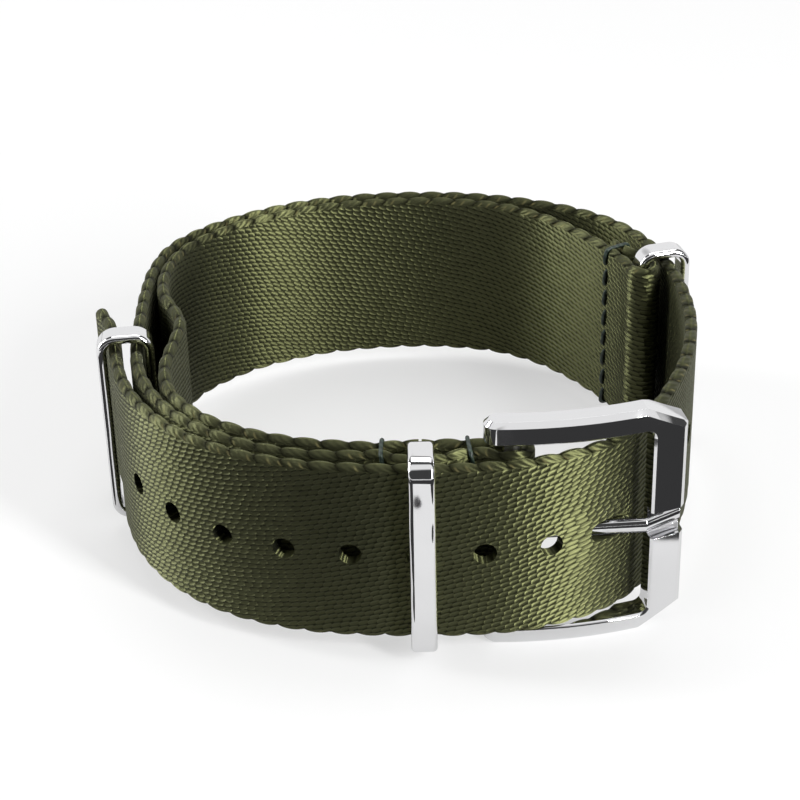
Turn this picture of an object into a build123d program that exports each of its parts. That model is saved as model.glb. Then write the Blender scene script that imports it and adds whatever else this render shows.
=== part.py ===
from build123d import *
import os
from math import cos, degrees, radians, sin, sqrt

# A pull-through watch strap for 20 mm lugs, closed in a loop that stands on its edge.
# +X points to the right, +Y to the back and +Z up, seen from the buckle's side. All sizes are in mm.

os.makedirs("parts", exist_ok=True)

# Webbing
webbing_width = 20.0
webbing_thickness = 1.3
ply_gap = 0.15

# The closed loop: an oval that the webbing follows
loop_half_width = 29.4
loop_half_depth = 28.7
loop_squareness = 2.4

# Holes in the tail
hole_diameter = 2.3
hole_pitch = 6.5
tang_pull = 0.7
holes_before_buckle = 8
holes_after_buckle = 4

# Rings, all three of one size
ring_bar = 1.0
ring_width = 2.6
ring_round_share = 0.45
ring_inner_share = 0.3
keeper_slack = 1.4
ring_side_clearance = 0.3
ring_bar_clearance = 0.12
rear_flap_gap = 0.4
rear_flap_end = 1.5

# Places on the front, to the right of the middle of the loop
front_ring_place = 0.05
left_row_place = -3.6
right_row_place = 4.9
spring_bar_place = 8.9
pocket_play = 0.75
butt_gap = 0.3

# Spring bar
bar_tube_diameter = 1.5
bar_tube_wall = 0.22
bar_fold_clearance = 0.1
bar_end_gap = 0.3
pin_diameter = 0.8
pin_reach = 1.1
pin_bore_depth = 1.35
pin_shank = 2.4
pin_chamfer = 0.1
running_clearance = 0.05
spring_wire = 0.16
spring_turns = 10
spring_wire_sides = 4

# Buckle frame
frame_overhang = 3.0
frame_length = 20.0
frame_leg = 2.0
frame_upper_leg = 2.5
frame_leg_clearance = 0.4
frame_headroom = 0.6
frame_bar = 3.6
frame_depth = 2.7
frame_lug_rise = 0.6
frame_middle_rise = 1.7
frame_bar_rise = 0.7
frame_corner_along = 4.4
frame_corner_across = 2.4
frame_opening_corner = 0.9
frame_edge_chamfer = 0.5
frame_opening_chamfer = 0.25

# Tang and the notch that it lies in
tang_width = 1.7
tang_thickness = 1.1
tang_tip_thickness = 0.7
tang_roll_wall = 0.7
tang_root_rise = 0.25
tang_knee_gap = 0.4
tang_knee_rise = 2.05
tang_tip_inset = 0.1
tang_tip_rise = 0.7
tang_edge_chamfer = 0.25
tang_side_clearance = 0.35
tang_seat_clearance = 0.08
tunnel_clearance = 0.7
tunnel_corner = 0.75
notch_width = 3.0

# Stitching
thread = 0.42
thread_bend = 0.3
stitches_per_row = 8
stitch_spacing = 0.12

# Angles go clockwise round the loop from the front, in degrees, over one lap and a quarter.
rear_ring_angle = -339.5
side_ring_angle = -169.0
tail_lap = -360.0

# Where to look for the tang's own hole, as shares of the lap and tail's length
tang_search_shares = (0.70, 0.76)
halving_steps = 30
same_direction = 1e-9
straight_share = 1e-4

# How far the main strap's middle lies outside the oval, in thicknesses of webbing.
main_lift_shares = (
    (-98.5, -0.26), (-102.0, -0.14), (-112.0, 0.2), (-125.0, 0.34), (-138.0, 0.4), (-150.0, 0.34),
    (-160.0, 0.26), (-169.0, 0.06), (-180.0, -0.04), (-191.0, 0.12), (-202.0, 0.6), (-211.0, 0.95),
    (-219.0, 0.7), (-230.0, 0.2), (-243.0, 0.0), (-256.0, 0.0), (-270.0, 0.0), (-283.0, -0.2),
    (-296.0, -0.4), (-309.0, -0.25), (-321.0, 0.0), (-332.0, -0.05), (-343.0, -0.15), (-354.0, -0.12),
    (-365.0, -0.12), (-375.0, -0.3), (-385.0, -0.35), (-393.0, -0.2), (-399.5, 0.22), (-405.0, 0.8),
    (-411.0, 1.4), (-417.5, 1.78), (-425.0, 1.94), (-433.0, 1.97), (-441.0, 1.86), (-449.5, 1.7),
    (-461.0, 1.6), (-474.0, 1.68), (-486.0, 1.8), (-498.0, 1.84), (-510.0, 1.84), (-520.0, 1.8),
    (-527.0, 1.78), (-533.0, 1.86), (-538.0, 2.4), (-543.0, 3.3),
)
row_lift_share = -0.26
ring_lift_share = 0.35

# How far the short strap stands off the main strap's inner face, in half depths of the loop.
short_gap_shares = (
    (-98.5, 0.0), (-104.0, 0.01), (-114.0, 0.018), (-126.0, 0.016), (-138.0, 0.008), (-150.0, 0.014),
    (-159.0, 0.045), (-166.0, 0.075), (-172.0, 0.095), (-178.0, 0.1), (-184.0, 0.07), (-190.0, 0.025),
    (-198.0, 0.004), (-211.0, 0.004), (-225.0, 0.004), (-243.0, 0.004), (-262.0, 0.004), (-280.0, 0.006),
    (-293.0, 0.022), (-304.0, 0.062), (-314.0, 0.1), (-323.0, 0.118), (-330.5, 0.113),
)

# Everything stands on the underside of the buckle's lower leg.
webbing_bottom = frame_leg + frame_leg_clearance
mid_height = webbing_bottom + webbing_width / 2
opening_top = webbing_bottom + webbing_width + frame_leg_clearance + frame_headroom
frame_height = opening_top + frame_upper_leg
half_thickness = webbing_thickness / 2
ply_spacing = webbing_thickness + ply_gap
ring_inner_depth = 2 * webbing_thickness + keeper_slack
ring_inner_height = webbing_width + 2 * ring_side_clearance
bar_fold_radius = bar_tube_diameter / 2 + bar_fold_clearance + half_thickness
ring_fold_radius = ring_bar / 2 + ring_bar_clearance + half_thickness
pocket_spacing = webbing_thickness + ring_bar + 2 * ring_bar_clearance

# How far the buckle's parts reach, from the spring bar's axis
frame_end = frame_length - frame_overhang
bar_inner_edge = frame_end - frame_bar
tang_knee_reach = bar_inner_edge - tang_knee_gap
tang_tip_reach = frame_end - tang_tip_inset


def front_angle(place):
    """Angle round the loop of a place on its front."""
    return -90 + degrees(place / loop_half_depth)


def outward(angle):
    """Direction that points straight out of the oval at an angle round the loop."""
    along, across = cos(radians(angle)), sin(radians(angle))
    grade = loop_squareness - 1
    slope_x = abs(along / loop_half_width) ** grade / loop_half_width * (1 if along > 0 else -1)
    slope_y = abs(across / loop_half_depth) ** grade / loop_half_depth * (1 if across > 0 else -1)
    return Vector(slope_x, slope_y).normalized()


def on_loop(angle, lift):
    """Point at an angle round the loop, moved straight out of the oval by the lift."""
    along, across = cos(radians(angle)), sin(radians(angle))
    power = loop_squareness
    reach = (abs(along / loop_half_width) ** power + abs(across / loop_half_depth) ** power) ** (-1 / power)
    return Vector(reach * along, reach * across) + outward(angle) * lift


def share_at(shares, angle):
    """Share at an angle, read in a straight line between the two nearest entries of the table."""
    for (angle_a, share_a), (angle_b, share_b) in zip(shares, shares[1:]):
        if angle_a >= angle >= angle_b:
            return share_a + (share_b - share_a) * (angle_a - angle) / (angle_a - angle_b)
    raise ValueError("the angle lies outside the table")


def main_lift(angle):
    """Lift of the main strap's middle at an angle."""
    return webbing_thickness * share_at(main_lift_shares, angle)


def short_lift(angle):
    """Lift of the short strap's middle at an angle."""
    return main_lift(angle) - ply_spacing - loop_half_depth * share_at(short_gap_shares, angle)


def clockwise(angle):
    """Direction of travel along the straps at an angle round the loop."""
    normal = outward(angle)
    return Vector(normal.Y, -normal.X)


def headings(points, first, last):
    """Direction of the path at each point, smooth through its neighbours, with the given ends."""
    found = [first]
    for before, here, after in zip(points, points[1:], points[2:]):
        step_in, step_out = here - before, after - here
        blend = step_in.normalized() * step_out.length + step_out.normalized() * step_in.length
        found.append(blend.normalized())
    return found + [last]


def two_arcs(start, heading, end, end_heading):
    """Two arcs that join smoothly between two points, as (start, heading, end, end heading)."""
    chord = end - start
    both = heading + end_heading
    bend = 2 * (1 - heading.dot(end_heading))
    reach = chord.dot(chord) / (2 * chord.dot(both))
    if bend > same_direction:
        pull = chord.dot(both)
        reach = (sqrt(pull * pull + bend * chord.dot(chord)) - pull) / bend
    corner_a, corner_b = start + heading * reach, end - end_heading * reach
    middle = (corner_a + corner_b) / 2
    middle_heading = (corner_b - corner_a).normalized()
    return [(start, heading, middle, middle_heading), (middle, middle_heading, end, end_heading)]


def path_arcs(points, first, last):
    """Arcs of a smooth path through the points."""
    directions = headings(points, first, last)
    arcs = []
    for index in range(len(points) - 1):
        arcs += two_arcs(points[index], directions[index], points[index + 1], directions[index + 1])
    return arcs


def draw_arc(start, heading, end):
    """One stretch of an outline, an arc unless it runs straight."""
    if abs(heading.cross(end - start).Z) < straight_share * (end - start).length:
        Line(start, end)
    else:
        TangentArc(start, end, tangent=heading)


def leftwards(heading):
    """Direction square to a heading, to its left."""
    return Vector(-heading.Y, heading.X)


def draw_webbing(arcs):
    """Outline in plan of webbing whose middle follows the arcs."""
    for side in (half_thickness, -half_thickness):
        for start, heading, end, end_heading in arcs:
            draw_arc(start + leftwards(heading) * side, heading, end + leftwards(end_heading) * side)
    for point, heading in ((arcs[0][0], arcs[0][1]), (arcs[-1][2], arcs[-1][3])):
        Line(point + leftwards(heading) * half_thickness, point - leftwards(heading) * half_thickness)


def fold_arcs(centre, start, heading):
    """Half turn of webbing round a centre, in two quarter turns."""
    inwards = (centre - start).normalized()
    quarter = centre + heading * (start - centre).length
    return [(start, heading, quarter, inwards), (quarter, inwards, centre * 2 - start, heading * -1)]


def upright(point, height):
    """Point in plan, raised to a height."""
    return Vector(point.X, point.Y, height)


def webbing_solid(arcs):
    """Length of webbing on its edge, whose middle follows the arcs in plan."""
    with BuildPart() as webbing:
        with BuildSketch(Plane.XY.offset(webbing_bottom)):
            with BuildLine():
                draw_webbing(arcs)
            make_face()
        extrude(amount=webbing_width)
    return webbing.part


# The spring bar's axis, and a frame of reference there: X along the buckle to the right, Y inwards.
bar_angle = front_angle(spring_bar_place)
bar_lift = main_lift(bar_angle + tail_lap) - ply_spacing - bar_fold_radius
bar_axis = on_loop(bar_angle, bar_lift)
buckle_plan = Plane(origin=bar_axis, x_dir=clockwise(bar_angle) * -1, z_dir=(0, 0, 1))
buckle_face = Plane(origin=bar_axis, x_dir=clockwise(bar_angle) * -1, z_dir=outward(bar_angle))

# Heights of the two plies in the front pocket
row_lift = webbing_thickness * row_lift_share
ring_lift = webbing_thickness * ring_lift_share
pocket_half = ring_width / 2 + pocket_play

# Path of the main strap: from its sewn end round the spring bar, then one lap and on to the tail's tip
flap_places = (
    (front_ring_place + butt_gap / 2, ring_lift - pocket_spacing),
    (front_ring_place + pocket_half, ring_lift - pocket_spacing),
    (right_row_place, row_lift - ply_spacing),
    (spring_bar_place, bar_lift - bar_fold_radius),
)
outer_places = (
    (spring_bar_place, bar_lift + bar_fold_radius),
    (right_row_place, row_lift),
    (front_ring_place + pocket_half, ring_lift),
    (front_ring_place - pocket_half, ring_lift),
    (left_row_place, row_lift),
)
flap_points = [on_loop(front_angle(place), lift) for place, lift in flap_places]
lap_points = [on_loop(front_angle(place), lift) for place, lift in outer_places]
lap_points += [on_loop(angle, main_lift(angle)) for angle, share in main_lift_shares[1:]]
flap_start = clockwise(front_angle(front_ring_place)) * -1
main_arcs = path_arcs(flap_points, flap_start, clockwise(bar_angle) * -1)
main_arcs += fold_arcs(bar_axis, flap_points[-1], clockwise(bar_angle) * -1)
tail_heading = (lap_points[-1] - lap_points[-2]).normalized()
lap_arcs = path_arcs(lap_points, clockwise(bar_angle), tail_heading)
main_arcs += lap_arcs

# Path of the short strap: from the pocket to the fold round the rear ring's inner bar, and back
rear_bar_lift = main_lift(rear_ring_angle) - webbing_thickness - rear_flap_gap - ring_fold_radius
rear_bar = on_loop(rear_ring_angle, rear_bar_lift)
rear_heading = clockwise(rear_ring_angle)
rear_normal = outward(rear_ring_angle)
rear_fold = rear_bar + rear_heading * (ring_width - ring_bar) / 2
short_places = (
    (front_ring_place - butt_gap / 2, ring_lift - pocket_spacing),
    (front_ring_place - pocket_half, ring_lift - pocket_spacing),
    (left_row_place, row_lift - ply_spacing),
)
short_points = [on_loop(front_angle(place), lift) for place, lift in short_places]
short_points += [on_loop(angle, short_lift(angle)) for angle, share in short_gap_shares[1:]]
short_points += [rear_fold - rear_normal * ring_fold_radius]
short_arcs = path_arcs(short_points, clockwise(front_angle(front_ring_place)), rear_heading)
short_arcs += fold_arcs(rear_fold, short_points[-1], rear_heading)
rear_row = short_points[-2]
rear_row_heading = headings(short_points, rear_heading, rear_heading)[-2]
rear_flap_points = [
    rear_fold + rear_normal * ring_fold_radius,
    rear_bar + rear_normal * ring_fold_radius - rear_heading * ring_width / 2,
    rear_row + leftwards(rear_row_heading) * ply_spacing,
    rear_row + leftwards(rear_row_heading) * ply_spacing - rear_row_heading * rear_flap_end,
]
short_arcs += path_arcs(rear_flap_points, rear_heading * -1, rear_row_heading * -1)

# The holes stand square to the tail. The tang's own hole lies where the tail crosses the tang.
with BuildLine() as tail_drawing:
    for start, heading, end, end_heading in lap_arcs:
        draw_arc(start, heading, end)
tail_middle = tail_drawing.wire()
tang_slope = (tang_knee_rise - tang_root_rise) / tang_knee_reach


def above_tang(length):
    """How far the tail's middle lies outside the tang's line, at a length along the tail."""
    local = buckle_plan.to_local_coords(tail_middle.position_at(length, PositionMode.LENGTH))
    return -local.Y - tang_root_rise - tang_slope * local.X


def tang_crossing(near, far):
    """Length along the tail where it crosses the tang's line, by halving."""
    for step in range(halving_steps):
        middle = (near + far) / 2
        if above_tang(middle) < 0:
            near = middle
        else:
            far = middle
    return (near + far) / 2


search_from, search_to = (tail_middle.length * share for share in tang_search_shares)
buckle_hole = tang_crossing(search_from, search_to)
row_start = buckle_hole - tang_pull
hole_lengths = [row_start + hole_pitch * step for step in range(1, holes_before_buckle + 1)]
hole_lengths += [row_start - hole_pitch * step for step in range(1, holes_after_buckle + 1)]
tang_line_start = tang_width
tunnel_height = tang_thickness + tang_side_clearance + tunnel_clearance
tunnel_rise = tang_root_rise + tang_slope * tang_line_start + (tunnel_clearance - tang_side_clearance) / 2
tang_way = buckle_plan.x_dir + outward(bar_angle) * tang_slope
tang_roll_radius = bar_tube_diameter / 2 + running_clearance + tang_roll_wall
slot_width = tang_width + 2 * tang_side_clearance
fold_outer_radius = bar_fold_radius + half_thickness + ply_gap / 2

with BuildPart() as main_strap:
    add(webbing_solid(main_arcs))
    for length in hole_lengths:
        place = tail_middle.position_at(length, PositionMode.LENGTH)
        heading = tail_middle.tangent_at(length, PositionMode.LENGTH)
        with BuildSketch(Plane(origin=upright(place, mid_height), z_dir=leftwards(heading))):
            Circle(hole_diameter / 2)
        extrude(amount=half_thickness + ply_gap / 2, both=True, mode=Mode.SUBTRACT)
    # Way for the tang through the tail
    tunnel_start = bar_axis + buckle_plan.x_dir * tang_line_start + outward(bar_angle) * tunnel_rise
    with BuildSketch(Plane(origin=upright(tunnel_start, mid_height), x_dir=(0, 0, 1), z_dir=tang_way)):
        RectangleRounded(slot_width, tunnel_height, tunnel_corner)
    extrude(amount=tang_knee_reach, mode=Mode.SUBTRACT)
    # Slot in the fold round the spring bar, where the tang turns
    with BuildSketch(buckle_plan.offset(mid_height - slot_width / 2)):
        with Locations((fold_outer_radius / 2 - tang_roll_radius / 2 - tang_side_clearance / 2, 0)):
            Rectangle(fold_outer_radius + tang_roll_radius + tang_side_clearance, 2 * fold_outer_radius)
    extrude(amount=slot_width, mode=Mode.SUBTRACT)
main_strap.part.label = "main_strap"

with BuildPart() as short_strap:
    add(webbing_solid(short_arcs))
short_strap.part.label = "short_strap"


def keeper_ring(angle, bar_face_lift):
    """Ring whose inner bar's outer face has the lift given, at an angle round the loop."""
    middle = on_loop(angle, bar_face_lift + ring_inner_depth / 2)
    across = Plane(origin=upright(middle, mid_height), x_dir=outward(angle), z_dir=clockwise(angle))
    with BuildPart() as ring:
        with BuildSketch(across):
            Rectangle(ring_inner_depth + 2 * ring_bar, ring_inner_height + 2 * ring_bar)
        extrude(amount=ring_width / 2, both=True)
        fillet(ring.edges(), ring_bar * ring_round_share)
        with BuildSketch(across):
            Rectangle(ring_inner_depth, ring_inner_height)
        extrude(amount=ring_width / 2, both=True, mode=Mode.SUBTRACT)
        inner_rims = [wire for face in ring.faces() for wire in face.inner_wires()]
        chamfer([edge for rim in inner_rims for edge in rim.edges()], ring_bar * ring_inner_share)
    return ring.part


front_angle_of_ring = front_angle(front_ring_place)
front_bar_face = ring_lift - half_thickness - ring_bar_clearance
side_middle = (main_lift(side_ring_angle) + main_lift(side_ring_angle + tail_lap)) / 2

with BuildPart() as front_keeper_ring:
    add(keeper_ring(front_angle_of_ring, front_bar_face))
front_keeper_ring.part.label = "front_keeper_ring"

with BuildPart() as side_keeper_ring:
    add(keeper_ring(side_ring_angle, side_middle - ring_inner_depth / 2))
side_keeper_ring.part.label = "side_keeper_ring"

with BuildPart() as rear_ring:
    add(keeper_ring(rear_ring_angle, rear_bar_lift + ring_bar / 2))
rear_ring.part.label = "rear_ring"

# Buckle frame: an arched bar seen from above, cut to its outline seen from the front
pin_bore = pin_diameter / 2 + running_clearance

arch = ThreePointArc(
    (frame_depth / 2 - frame_overhang, -frame_lug_rise),
    (frame_end / 2 - frame_overhang / 2, -frame_middle_rise),
    (frame_end, -frame_bar_rise),
)

with BuildPart() as buckle_frame:
    with BuildSketch(buckle_plan):
        SlotArc(arch, frame_depth)
    extrude(amount=frame_height)
    with BuildSketch(buckle_face.offset(-frame_length)):
        with BuildLine():
            Polyline(
                (-frame_overhang, 0),
                (frame_end - frame_corner_along, 0),
                (frame_end, frame_corner_across),
                (frame_end, frame_height - frame_corner_across),
                (frame_end - frame_corner_along, frame_height),
                (-frame_overhang, frame_height),
                close=True,
            )
        make_face()
    extrude(amount=2 * frame_length, mode=Mode.INTERSECT)
    curved_faces = buckle_frame.faces().filter_by(GeomType.CYLINDER)
    front_face = curved_faces.sort_by(Axis(bar_axis, outward(bar_angle)))[-1]
    chamfer(front_face.edges(), frame_edge_chamfer)
    opening_length = frame_length + bar_inner_edge
    opening_height = opening_top - frame_leg
    with BuildSketch(buckle_face):
        with Locations((bar_inner_edge / 2 - frame_length / 2, (frame_leg + opening_top) / 2)):
            RectangleRounded(opening_length, opening_height, frame_opening_corner)
    extrude(amount=frame_length, both=True, mode=Mode.SUBTRACT)
    curved_faces = buckle_frame.faces().filter_by(GeomType.CYLINDER)
    front_face = curved_faces.sort_by(Axis(bar_axis, outward(bar_angle)))[-1]
    edges_across = front_face.edges().filter_by_position(Axis.Z, frame_leg, opening_top)
    chamfer(edges_across.sort_by(Axis(bar_axis, buckle_plan.x_dir))[:-1], frame_opening_chamfer)
    # Notch for the tang, whose floor follows the tang's underside
    floor_drop = tang_thickness / 2 + tang_seat_clearance
    tip_drop = tang_tip_thickness / 2 + tang_seat_clearance
    with BuildSketch(buckle_plan.offset(mid_height - notch_width / 2)):
        with BuildLine():
            Polyline(
                (0, floor_drop - tang_root_rise),
                (tang_knee_reach, floor_drop - tang_knee_rise),
                (tang_tip_reach, tip_drop - tang_tip_rise),
                (frame_length, tip_drop - tang_tip_rise),
                (frame_length, -frame_length),
                (0, -frame_length),
                close=True,
            )
        make_face()
    extrude(amount=notch_width, mode=Mode.SUBTRACT)
    # Blind bores for the spring bar's pins
    for floor in (frame_leg - pin_bore_depth, opening_top):
        with BuildSketch(buckle_plan.offset(floor)):
            Circle(pin_bore)
        extrude(amount=pin_bore_depth, mode=Mode.SUBTRACT)
buckle_frame.part.label = "buckle_frame"

with BuildPart() as buckle_tang:
    with BuildSketch(buckle_plan.offset(mid_height - tang_width / 2)):
        with BuildLine():
            Polyline(
                (0, tang_thickness / 2 - tang_root_rise),
                (tang_knee_reach, tang_thickness / 2 - tang_knee_rise),
                (tang_tip_reach, tang_tip_thickness / 2 - tang_tip_rise),
                (tang_tip_reach, -tang_tip_thickness / 2 - tang_tip_rise),
                (tang_knee_reach, -tang_thickness / 2 - tang_knee_rise),
                (0, -tang_thickness / 2 - tang_root_rise),
                close=True,
            )
        make_face()
        Circle(tang_roll_radius)
        Circle(bar_tube_diameter / 2 + running_clearance, mode=Mode.SUBTRACT)
    extrude(amount=tang_width)
    outer_faces = buckle_tang.faces().filter_by(GeomType.PLANE).filter_by(Axis.Z, reverse=True)
    far_faces = outer_faces.sort_by(Axis(bar_axis, outward(bar_angle)))[-2:]
    chamfer(far_faces.edges().filter_by(Axis.Z, reverse=True), tang_edge_chamfer)
buckle_tang.part.label = "buckle_tang"

# Spring bar
tube_bottom = frame_leg + bar_end_gap
tube_length = opening_top - frame_leg - 2 * bar_end_gap
tube_bore = bar_tube_diameter / 2 - bar_tube_wall
shank_radius = tube_bore - running_clearance

with BuildPart() as spring_bar_tube:
    with BuildSketch(buckle_plan.offset(tube_bottom)):
        Circle(bar_tube_diameter / 2)
        Circle(tube_bore, mode=Mode.SUBTRACT)
    extrude(amount=tube_length)
spring_bar_tube.part.label = "spring_bar_tube"


def spring_bar_pin(mouth, inwards):
    """Stepped pin: a nose in the frame's bore at the mouth's height, and a shank inside the tube."""
    nose_length = pin_reach + bar_end_gap
    with BuildPart() as pin:
        with BuildSketch(buckle_plan.offset(mouth - inwards * pin_reach)):
            Circle(pin_diameter / 2)
        extrude(amount=inwards * (nose_length + pin_shank / 2))
        with BuildSketch(buckle_plan.offset(mouth + inwards * bar_end_gap)):
            Circle(shank_radius)
        extrude(amount=inwards * pin_shank)
        chamfer(pin.edges().group_by(Axis.Z)[0 if inwards > 0 else -1], pin_chamfer)
    return pin.part


with BuildPart() as spring_bar_pin_lower:
    add(spring_bar_pin(frame_leg, 1))
spring_bar_pin_lower.part.label = "spring_bar_pin_lower"

with BuildPart() as spring_bar_pin_upper:
    add(spring_bar_pin(opening_top, -1))
spring_bar_pin_upper.part.label = "spring_bar_pin_upper"

# Coil spring between the two shanks
spring_bottom = tube_bottom + pin_shank + spring_wire
spring_height = tube_length - 2 * (pin_shank + spring_wire)
coil_radius = tube_bore - running_clearance - spring_wire
with BuildPart() as spring_bar_spring:
    with BuildLine(Plane(origin=upright(bar_axis, spring_bottom))):
        coil = Helix(pitch=spring_height / spring_turns, height=spring_height, radius=coil_radius)
    with BuildSketch(Plane(origin=coil @ 0, z_dir=coil % 0)):
        RegularPolygon(spring_wire / 2, spring_wire_sides)
    sweep(is_frenet=True)
spring_bar_spring.part.label = "spring_bar_spring"


def stitch_row(middle, heading):
    """Row of loops of thread through two plies, with the first and last round the webbing's edges."""
    pitch = (webbing_width + thread + 2 * stitch_spacing) / stitches_per_row
    depth = ply_spacing + webbing_thickness + 2 * thread
    with BuildPart() as row:
        for index in range(stitches_per_row):
            height = mid_height + (index - (stitches_per_row - 1) / 2) * pitch
            across = Plane(origin=upright(middle, height), x_dir=leftwards(heading), z_dir=heading)
            with BuildSketch(across.offset(-thread / 2)):
                loop = Rectangle(depth, pitch - stitch_spacing)
                chamfer(loop.vertices(), thread_bend)
                Rectangle(depth - 2 * thread, pitch - stitch_spacing - 2 * thread, mode=Mode.SUBTRACT)
            extrude(amount=thread)
    return row.part


left_row_middle = on_loop(front_angle(left_row_place), row_lift - ply_spacing / 2)
right_row_middle = on_loop(front_angle(right_row_place), row_lift - ply_spacing / 2)
rear_row_middle = rear_row + leftwards(rear_row_heading) * ply_spacing / 2

with BuildPart() as left_stitches:
    add(stitch_row(left_row_middle, clockwise(front_angle(left_row_place))))
left_stitches.part.label = "left_stitches"

with BuildPart() as right_stitches:
    add(stitch_row(right_row_middle, clockwise(front_angle(right_row_place))))
right_stitches.part.label = "right_stitches"

with BuildPart() as rear_stitches:
    add(stitch_row(rear_row_middle, rear_row_heading))
rear_stitches.part.label = "rear_stitches"

# The origin lies under the middle of the whole strap, on the surface that it stands on.
pieces = (
    main_strap, short_strap, buckle_frame, buckle_tang, front_keeper_ring, side_keeper_ring, rear_ring,
    spring_bar_tube, spring_bar_pin_upper, spring_bar_pin_lower, spring_bar_spring,
    left_stitches, right_stitches, rear_stitches,
)
boxes = [piece.part.bounding_box() for piece in pieces]
low_x, high_x = min(box.min.X for box in boxes), max(box.max.X for box in boxes)
low_y, high_y = min(box.min.Y for box in boxes), max(box.max.Y for box in boxes)
footprint_shift = Vector(-(low_x + high_x) / 2, -(low_y + high_y) / 2)
for piece in pieces:
    piece.part.position = piece.part.position + footprint_shift
    export_step(piece.part, "parts/" + piece.part.label + ".step")

print("size", high_x - low_x, high_y - low_y, frame_height, "shift", footprint_shift)
print("webbing length", tail_middle.length)
for name, point in (
    ("spring bar", bar_axis),
    ("front ring", on_loop(front_angle(front_ring_place), front_bar_face + ring_inner_depth / 2)),
    ("side ring", on_loop(side_ring_angle, side_middle)),
    ("rear ring bar", rear_bar),
):
    print(name, point + footprint_shift)
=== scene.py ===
from bisect import bisect_right
from math import atan2, cos, degrees, pi, radians, sin, sqrt

import bmesh
import bpy
from mathutils import Matrix, Vector


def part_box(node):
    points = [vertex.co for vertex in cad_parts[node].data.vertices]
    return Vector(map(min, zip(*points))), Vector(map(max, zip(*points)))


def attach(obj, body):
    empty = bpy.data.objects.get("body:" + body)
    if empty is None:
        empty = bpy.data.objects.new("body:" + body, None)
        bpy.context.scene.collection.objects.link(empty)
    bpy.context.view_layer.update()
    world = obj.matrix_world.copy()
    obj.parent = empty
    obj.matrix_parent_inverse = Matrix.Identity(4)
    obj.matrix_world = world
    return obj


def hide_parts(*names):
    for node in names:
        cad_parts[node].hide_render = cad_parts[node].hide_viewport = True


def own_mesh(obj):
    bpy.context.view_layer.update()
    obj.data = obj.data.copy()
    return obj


# A pull-through woven watch strap with a pin buckle and three rings, closed in a loop on its edge.
# Sizes and places along the webbing are in mm, and become metres where a piece is finished.
# A route is the webbing's middle line in plan. A lift is how far outside the loop's own line it runs.

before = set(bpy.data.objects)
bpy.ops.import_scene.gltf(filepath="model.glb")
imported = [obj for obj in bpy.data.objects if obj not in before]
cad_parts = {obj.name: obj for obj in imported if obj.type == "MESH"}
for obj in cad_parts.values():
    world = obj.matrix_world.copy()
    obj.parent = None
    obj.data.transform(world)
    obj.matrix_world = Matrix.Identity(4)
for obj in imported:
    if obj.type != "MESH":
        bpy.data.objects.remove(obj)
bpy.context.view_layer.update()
MM = 0.001
UV_PER_MM, MM_PER_UV = 0.01, 100.0

# Webbing and the closed loop
WIDTH, THICKNESS, PLY_GAP = 20.0, 1.3, 0.15
HALF_WIDTH, HALF_DEPTH, SQUARENESS = 29.4, 28.7, 2.4
MIDDLE_HEIGHT = 12.4
RING_WIDTH, RING_BAR, BAR_CLEARANCE = 2.6, 1.0, 0.12
RING_DEPTH, RING_HEIGHT = 2 * THICKNESS + 1.4 + 2 * RING_BAR, WIDTH + 0.6 + 2 * RING_BAR
FRONT_RING, LEFT_ROW, RIGHT_ROW, SPRING_BAR = 0.05, -3.6, 4.9, 8.9
POCKET_HALF = RING_WIDTH / 2 + 0.75
PLY = THICKNESS + PLY_GAP
BAR_FOLD = 1.5
RING_FOLD = RING_BAR / 2 + BAR_CLEARANCE + THICKNESS / 2
POCKET = THICKNESS + RING_BAR + 2 * BAR_CLEARANCE
ROW_LIFT, RING_LIFT = -0.26 * THICKNESS, 0.35 * THICKNESS
REAR_RING, SIDE_RING = -339.5, -169.0
BUTT_HALF, REAR_GAP, ROW_END = 0.15, 0.4, 1.5
STITCHES, THREAD = 8, 0.42
SOFT_TURN, CRISP_TURN, BLUNT_CORNER = 50, 32, 24

# The main strap's lift at angles round the loop, in thicknesses
MAIN_LIFT = (
    (-98.5, -0.26), (-102.0, -0.14), (-112.0, 0.2), (-125.0, 0.34), (-138.0, 0.4), (-150.0, 0.34),
    (-160.0, 0.26), (-169.0, 0.06), (-180.0, -0.04), (-191.0, 0.12), (-202.0, 0.6), (-211.0, 0.95),
    (-219.0, 0.7), (-230.0, 0.2), (-243.0, 0.0), (-256.0, 0.0), (-270.0, 0.0), (-283.0, -0.2),
    (-296.0, -0.4), (-309.0, -0.25), (-321.0, 0.0), (-332.0, -0.05), (-343.0, -0.15), (-354.0, -0.12),
    (-365.0, -0.12), (-375.0, -0.3), (-385.0, -0.35), (-393.0, -0.2), (-399.5, 0.22), (-405.0, 0.8),
    (-411.0, 1.4), (-417.5, 1.78), (-425.0, 1.94), (-433.0, 1.97), (-441.0, 1.86), (-449.5, 1.7),
    (-461.0, 1.6), (-474.0, 1.68), (-486.0, 1.8), (-498.0, 1.84), (-510.0, 1.84), (-520.0, 1.8),
    (-527.0, 1.78), (-533.0, 1.86), (-538.0, 2.4), (-543.0, 3.3),
)
# The short strap's extra gap behind the main strap at those angles, as a share of HALF_DEPTH
SHORT_GAP = (
    (-98.5, 0.0), (-104.0, 0.01), (-114.0, 0.018), (-126.0, 0.016), (-138.0, 0.008), (-150.0, 0.014),
    (-159.0, 0.045), (-166.0, 0.075), (-172.0, 0.095), (-178.0, 0.1), (-184.0, 0.07), (-190.0, 0.025),
    (-198.0, 0.004), (-211.0, 0.004), (-225.0, 0.004), (-243.0, 0.004), (-262.0, 0.004), (-280.0, 0.006),
    (-293.0, 0.022), (-304.0, 0.062), (-314.0, 0.1), (-323.0, 0.118), (-330.5, 0.113),
)


def in_scene(name, data):
    piece = bpy.data.objects.new(name, data)
    bpy.context.scene.collection.objects.link(piece)
    return piece


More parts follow.
